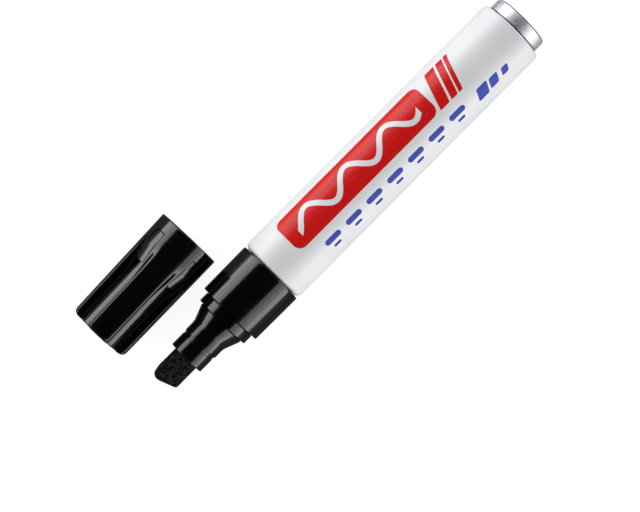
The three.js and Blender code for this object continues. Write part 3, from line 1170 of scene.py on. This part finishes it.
@dataclass
class Cap:
    """Moulded push-on cap with four raised bands, four channels, a pad in each and a sleeve inside.

    Depths run from the mouth, and angles are degrees from a band's middle or, for pads, from a
    channel's. Rows and columns say where the mesh has its points. A band's wall leans by the first
    value of its pair over its height, and the second is the fillet at its foot. Turn, tip and roll
    are degrees, and roll turns the bands against the solid's, to where they stand in the picture.
    """

    length: float = 33.7
    mouth_radius: float = 9.0
    closed_radius: float = 8.6
    wall: float = 0.9
    mouth_lip: float = 0.22
    end_round: float = 1.4
    end_thickness: float = 1.4
    rim: float = 3.4
    bands: int = 4
    band_half: float = 22.0
    floor_radius: float = 6.45
    runout: Point = (6.2, 18.0)
    runout_bend: float = 1.4
    runout_lip: float = 0.1
    pad_half: float = 10.5
    pad_recess: float = 0.15
    pad_ramp: float = 7.9
    pad_end: float = 12.5
    pad_end_radius: float = 7.64
    slit_width: float = 0.24
    slit_depth: float = 0.4
    slit_wall: float = 0.12
    groove: Point = (0.3, 0.2)
    bore: float = 7.99
    bore_length: float = 4.4
    bore_lip: float = 0.35
    sleeve_bore: float = 5.32
    sleeve_start: float = 8.6
    sleeve_free: float = 2.0
    sleeve_gap: float = 0.15
    sleeve_edge: float = 0.05
    sleeve_bend: float = 1.0
    lead_in: float = 0.3
    sleeve_draft: float = 0.15
    edge_fillet: float = 0.43
    leaning_wall: Point = (0.47, 0.46)
    radial_wall: Point = (0.01, 0.07)
    wall_middle: float = 16.0
    mouth: Triple = (-32.6337, 10.7271, 8.9801)
    turn: float = 1.47
    tip: float = 0.6786
    roll: float = -1.6
    plain_rows: tuple[float, ...] = (1.2, 2.4, 3.1, 4.8, 5.6, 19.0, 21.0, 24.0, 27.0, 29.5, 31.2)
    bore_rows: tuple[float, ...] = (3.0, 4.3, 4.5, 6.5)
    band_columns: tuple[float, ...] = (4, 8, 11, 13.9, 14.6, 17, 18.3)
    floor_columns: tuple[float, ...] = (4.0, 6.0, 8.0, 10.2)
    pad_columns: tuple[float, ...] = (2.8, 5.6, 8.4)
    runout_curve: list[Point] = field(default_factory=list)

    def __post_init__(self) -> None:
        """Lays out the channel's run-out once."""
        start, end = self.runout
        lip, foot = (start, self.skin(start)), (end, self.floor_radius)
        lip_bend = (start + self.runout_bend, lip[1] - self.runout_lip)
        foot_bend = (end - self.runout_bend, self.floor_radius)
        halfway = ((lip_bend[0] + foot_bend[0]) / 2, (lip_bend[1] + foot_bend[1]) / 2)
        self.runout_curve = curved(lip, lip_bend, halfway, 10) + curved(halfway, foot_bend, foot, 10)[1:]

    def skin(self, u: float) -> float:
        """Radius of the drafted skin, u millimetres from the mouth."""
        return self.mouth_radius - (self.mouth_radius - self.closed_radius) * u / self.length

    def side(self, u: float) -> float:
        """Radius of a channel beside its pad.

        Args:
            u: Millimetres from the mouth.

        Returns:
            Radius in millimetres.
        """
        if u <= self.runout[0]:
            return self.skin(u)
        for (u0, r0), (u1, r1) in zip(self.runout_curve, self.runout_curve[1:]):
            if u <= u1:
                return r0 + (r1 - r0) * (u - u0) / (u1 - u0)
        return self.floor_radius

    def pad(self, u: float) -> float:
        """Radius of the pad's face, or of the channel behind it.

        Args:
            u: Millimetres from the mouth.

        Returns:
            Radius in millimetres.
        """
        if u <= self.rim:
            return self.skin(u)
        width, depth = self.groove
        into = (u - self.rim) / width
        if into < 0.5:
            return self.skin(u) - (self.pad_recess + depth) * 2 * into
        if into < 1:
            return self.skin(u) - self.pad_recess - depth * 2 * (1 - into)
        top = self.skin(self.pad_ramp) - self.pad_recess
        if u <= self.pad_ramp:
            return self.skin(u) - self.pad_recess
        if u <= self.pad_end:
            share = (u - self.pad_ramp) / (self.pad_end - self.pad_ramp)
            return top + (self.pad_end_radius - top) * share
        return self.floor_radius

    def slit(self, u: float) -> float:
        """Radius of the slit along a pad's sides, which grows shallow towards the pad's end.

        Args:
            u: Millimetres from the mouth.

        Returns:
            Radius in millimetres.
        """
        left = min(max((self.pad_end - u) / (self.pad_end - self.rim), 0), 1)
        level = min(self.pad(u), self.side(u))
        return level if u < self.rim + self.groove[0] else level - self.slit_depth * left

    def outside(self, zone: Zone) -> list[Point]:
        """A zone's way from the mouth's edge to the middle of the closed end.

        Args:
            zone: Zone of the skin.

        Returns:
            Points of depth and radius, as many for every zone.
        """
        radius_of = {Zone.BAND: self.skin, Zone.SIDE: self.side, Zone.PAD: self.pad, Zone.SLIT: self.slit}
        reach = radius_of[zone]
        lip = self.mouth_lip
        rows = curved((0, self.mouth_radius - lip), (0, self.mouth_radius), (lip, self.skin(lip)), 5)
        beside_step = 0.3
        depths = [*self.plain_rows]
        depths += [self.rim + self.groove[0] * share for share in (0, 0.5, 1, 1.1, 1.5)]
        depths += [self.pad_ramp + aside for aside in (-0.2, 0, 0.2)]
        depths += [u for u, _ in self.runout_curve if abs(u - self.pad_end) > beside_step]
        depths += [self.pad_end + aside for aside in (-0.25, -0.1, -0.03, 0, 0.03, 0.1, 0.25)]
        rows += [(u, reach(u)) for u in sorted(set(round(d, 4) for d in depths))]
        if zone is Zone.BAND:
            rows += self.rounded_end(self.closed_radius, self.end_round)
        else:
            rows += self.rounded_end(self.floor_radius, self.edge_fillet)
        inner = rows[-1][1]
        rows += [(self.length, inner * share) for share in (0.93, 0.7, 0.4, 0.15)]
        rows.append((self.length, 0.0))
        return rows

    def rounded_end(self, radius: float, size: float) -> list[Point]:
        """A quarter turn of a given size from a radius onto the closed end."""
        return [(self.length - size + size * s, radius - size + size * c) for s, c in quarter_turn(6)]

    def inside(self, in_pocket: bool) -> list[Point]:
        """The way in from the mouth's edge to the middle of the sleeve's end.

        Args:
            in_pocket: Whether the column runs through the pocket behind a band.

        Returns:
            Points of depth and radius, as many with and without a pocket.
        """
        lip = self.floor_radius - self.lead_in
        mouth_end = self.sleeve_start + self.sleeve_free
        cone_end = lip + self.sleeve_gap
        fall = (self.bore - cone_end) / (mouth_end - self.bore_length)
        end = self.length - self.end_thickness
        deep = end - self.wall
        start = self.sleeve_start
        level = self.bore_length + (self.bore - self.floor_radius) / fall
        rows = curved((0, self.bore + self.bore_lip), (0, self.bore), (self.bore_lip, self.bore), 4)
        for u in (*self.bore_rows, start):
            rows.append((u, self.bore - fall * max(u - self.bore_length, 0)))
        if in_pocket:
            rows += [
                (start, self.skin(start) - self.wall),
                (deep, self.skin(deep) - self.wall),
                (deep, self.floor_radius),
                (level, self.floor_radius),
            ]
        else:
            depths = [start + (level - start) * share for share in (0.05, 0.4, 0.7, 1.0)]
            rows += [(u, self.bore - fall * (u - self.bore_length)) for u in depths]
        edge, bend = self.sleeve_edge, self.sleeve_bend
        rows += [(mouth_end, cone_end), (mouth_end - edge, lip), (start + edge, lip)]
        rows += [(start, lip - edge), (start, self.sleeve_bore + self.lead_in)]
        rows.append((start + self.lead_in, self.sleeve_bore))
        narrow = self.sleeve_bore - self.sleeve_draft
        rows += curved((end - bend, narrow), (end, narrow), (end, narrow - bend), 4)
        rows.append((end, 0.0))
        return rows

    def wall_columns(self, angle: float, height: float, shape: Point, way: int) -> list[CapColumn]:
        """Columns down a band's wall, with a fillet at its top and its foot.

        Args:
            angle: Where the wall stands, in degrees.
            height: The wall's full height in millimetres.
            shape: How far it leans over its height, and the radius of the fillet at its foot.
            way: 1 where the channel lies at greater angles, -1 where it lies at smaller ones.

        Returns:
            Columns in the order of their angles.
        """
        fillet = self.edge_fillet
        lean, foot = shape
        turns = quarter_turn(5)
        path = [(-fillet + fillet * s, fillet - fillet * c) for s, c in turns]
        path += [(foot - foot * c, height - foot + foot * s) for s, c in turns]
        found = []
        for aside, down in path:
            turn = math.degrees((aside + lean * down) / self.closed_radius)
            found.append(CapColumn(angle + way * turn, Zone.BAND, Zone.SIDE, down / height))
        return found if way > 0 else found[::-1]

    def columns(self) -> list[CapColumn]:
        """All columns once round the cap.

        Returns:
            Columns in the order of their angles.
        """
        pitch = 360 / self.bands
        deep = self.skin(self.wall_middle) - self.floor_radius
        slit = math.degrees(self.slit_width / self.mouth_radius)
        pocket = self.band_half - math.degrees(self.wall / self.floor_radius)
        walls = (self.leaning_wall, self.radial_wall)
        found: list[CapColumn] = []
        for i in range(self.bands):
            band = i * pitch
            middle = band + pitch / 2
            near, far = band + self.band_half, band + pitch - self.band_half
            for a in both_ways(self.band_columns):
                found.append(CapColumn(band + a, Zone.BAND, Zone.BAND, 0, abs(a) < pocket))
            found += self.wall_columns(near, deep, walls[i % 2], 1)
            found += self.wall_columns(far, deep, walls[(i + 1) % 2], -1)
            # A leaning wall and its foot reach to the slit, so only the radial one has floor beside it.
            radial, inward = (near, 1) if i % 2 else (far, -1)
            for a in self.floor_columns:
                found.append(CapColumn(radial + inward * a, Zone.SIDE, Zone.SIDE, 0))
            slit_floor = (self.slit_wall, slit - self.slit_wall)
            turns = ((0, Zone.PAD), *((turn, Zone.SLIT) for turn in slit_floor), (slit, Zone.SIDE))
            for way in (-1, 1):
                for turn, zone in turns:
                    found.append(CapColumn(middle + way * (self.pad_half + turn), zone, zone, 0))
            found += [CapColumn(middle + a, Zone.PAD, Zone.PAD, 0) for a in both_ways(self.pad_columns)]
        return sorted(found, key=lambda column: column.angle)

    def place(self) -> Matrix:
        """Matrix from the cap's own axes, with its closed end along -X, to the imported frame."""
        turn = Matrix.Rotation(math.radians(self.turn), 4, "Z")
        tip = Matrix.Rotation(math.radians(-self.tip), 4, "Y")
        return Matrix.Translation(Vector(self.mouth)) @ turn @ tip

    def build(self, plastic: bpy.types.Material) -> bpy.types.Object:
        """Makes the cap.

        Args:
            plastic: Black polypropylene.

        Returns:
            The piece.
        """
        ways = {zone: self.outside(zone) for zone in Zone}
        inner = {pocket: self.inside(pocket) for pocket in (True, False)}
        place = self.place()
        columns = []
        for column in self.columns():
            upper, lower = ways[column.upper], ways[column.lower]
            skin = [
                (a[0] + (b[0] - a[0]) * column.share, a[1] + (b[1] - a[1]) * column.share)
                for a, b in zip(upper, lower)
            ]
            angle = math.radians(column.angle + self.roll)
            points = []
            for u, r in [*skin[::-1], *inner[column.in_pocket]]:
                r *= ON_FLATS
                points.append(place @ Vector((-u, r * math.sin(angle), r * math.cos(angle))))
            columns.append(points)
        cap = grid_mesh("push_on_cap", columns, sharp=30, closed_rows=False)
        return finish_piece(cap, Body.CAP, "cap", Slot.BLACK_PLASTIC, plastic)


@dataclass
class HiddenParts:
    """Wadding and film inside the barrel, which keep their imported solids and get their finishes."""

    wadding: str = "ink_reservoir"
    film: str = "reservoir_wrap"

    def dress(self, felt: bpy.types.Material, film: bpy.types.Material) -> None:
        """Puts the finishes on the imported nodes.

        Args:
            felt: Inked wadding.
            film: Milky film.
        """
        for name, material in ((self.wadding, felt), (self.film, film)):
            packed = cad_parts[name]
            for place in packed.material_slots:
                place.material = material
            LOG.info("%s: keeps its packed solid, dressed as %s", name, material.name)


# Studio


@dataclass(frozen=True)
class Softbox:
    """A long fabric-fronted lamp beside the marker, parallel to it.

    It stands upright and reaches from one angle to another, measured at the marker from straight up.
    """

    name: str
    side: int
    upper: float
    lower: float
    brightness: float
    away: float = 620.0
    length: float = 2600.0
    middle: float = -15.0

    def build(self) -> bpy.types.Object:
        """Makes the lamp.

        Returns:
            The lamp.
        """
        top = AXIS_Z + self.away / math.tan(math.radians(self.upper))
        bottom = AXIS_Z + self.away / math.tan(math.radians(self.lower))
        height = (top - bottom) * MM
        lamp = bpy.data.lights.new(self.name, "AREA")
        lamp.shape = "RECTANGLE"
        lamp.size = self.length * MM
        lamp.size_y = height
        # A rectangular lamp sends out a quarter of its watts per square metre and unit of brightness.
        lamp.energy = 4 * self.brightness * self.length * MM * height
        panel = bpy.data.objects.new(self.name, lamp)
        panel.location = Vector((self.middle, AXIS_Y + self.side * self.away, (top + bottom) / 2)) * MM
        panel.rotation_euler = (math.radians(-90 * self.side), 0, 0)
        panel.visible_camera = False
        bpy.context.scene.collection.objects.link(panel)
        return panel


@dataclass
class Studio:
    """White sweep, dim room, softboxes and the lens."""

    sweep_radius: float = 2600.0
    sweep_columns: int = 96
    sweep_ring: float = 780.0
    cove: float = 500.0
    wall: float = 1500.0
    room: str = "#1c1c1d"
    focal: float = 3000.0
    millimetres_per_pixel: float = 0.2546
    heading: float = 45.17
    below_lens: Point = (-26.12, -16.14)
    aimed_at: Point = (-12.43, -16.19)
    width: int = 640

    def sweep(self) -> bpy.types.Object:
        """Makes the round floor that curves up into a wall.

        Returns:
            The sweep, which is not part of the object.
        """
        edge = self.sweep_radius
        outline: list[Point] = [(0.0, 0.0), (self.sweep_ring, 0.0), (edge, 0.0)]
        outline += curved((edge, 0), (edge + self.cove, 0), (edge + self.cove, self.cove), 12)[1:]
        outline.append((edge + self.cove, self.wall))
        columns = []
        for i in range(self.sweep_columns):
            a = math.tau * i / self.sweep_columns
            columns.append([Vector((r * math.cos(a), r * math.sin(a), z)) for r, z in outline])
        floor = grid_mesh("sweep", columns, closed_rows=False)
        floor.data.materials.append(PaintedSweep().material())
        return floor

    def lamps(self) -> list[bpy.types.Object]:
        """Makes the six softboxes.

        Returns:
            The lamps.
        """
        boxes = [
            Softbox("softbox_cap_side_high", 1, 49, 60, 2.25),
            Softbox("softbox_cap_side_middle", 1, 60, 74, 2.6),
            Softbox("softbox_cap_side_low", 1, 74, 89.2, 3.3),
            Softbox("softbox_far_side_high", -1, 42, 57, 1.3),
            Softbox("softbox_far_side_middle", -1, 57, 72, 1.9),
            Softbox("softbox_far_side_low", -1, 72, 89.2, 3.0),
        ]
        return [box.build() for box in boxes]

    def room_light(self) -> None:
        """Sets the dim, even light of the room above the lamps."""
        world = bpy.data.worlds.new("dim_room")
        world.use_nodes = True
        background = world.node_tree.nodes["Background"]
        background.inputs["Color"].default_value = linear(self.room)
        background.inputs["Strength"].default_value = 1.0
        bpy.context.scene.world = world

    def lens(self) -> bpy.types.Object:
        """Hangs the camera over the table, turned so that the marker runs up to the right.

        Returns:
            The camera.
        """
        camera = bpy.data.cameras.new("lens")
        camera.sensor_width = 36.0
        camera.lens = self.focal / self.width * camera.sensor_width
        camera.clip_start, camera.clip_end = 0.01, 20.0
        holder = bpy.data.objects.new("lens", camera)
        target = Vector((*self.aimed_at, AXIS_Z))
        drop = self.focal * self.millimetres_per_pixel
        place = Vector((*self.below_lens, AXIS_Z + drop))
        back = (place - target).normalized()
        turn = math.radians(self.heading)
        right = Vector((math.cos(turn), -math.sin(turn), 0))
        right = (right - back * right.dot(back)).normalized()
        up = back.cross(right)
        axes = Matrix((right, up, back)).transposed().to_4x4()
        holder.matrix_world = Matrix.Translation(place * MM) @ axes
        bpy.context.scene.collection.objects.link(holder)
        bpy.context.scene.camera = holder
        return holder

    def build(self) -> None:
        """Sets up floor, light and lens."""
        self.sweep()
        self.lamps()
        self.room_light()
        self.lens()
        bpy.context.scene.view_settings.view_transform = "Standard"


def main() -> None:
    """Builds the marker's pieces and the studio, and notes the sizes."""
    logging.basicConfig(level=logging.INFO, format="%(name)s %(message)s")
    Studio().build()
    section_plastic = BlackPolypropylene("gloss_black_polypropylene").material()
    cap_plastic = BlackPolypropylene("gloss_black_polypropylene_cap").material()
    Barrel().build(LacqueredAluminium().material(), DrawnAluminium().material())
    FrontSection().build(section_plastic)
    ChiselNib().build(InkedFelt("pressed_felt_with_black_ink").material())
    Cap().build(cap_plastic)
    wadding = InkedFelt("fibre_wadding_with_black_ink", pore_size=0.8, stretch=0.1, depth=0.2)
    HiddenParts().dress(wadding.material(), PolypropyleneFilm().material())


if __name__ == "__main__":
    main()
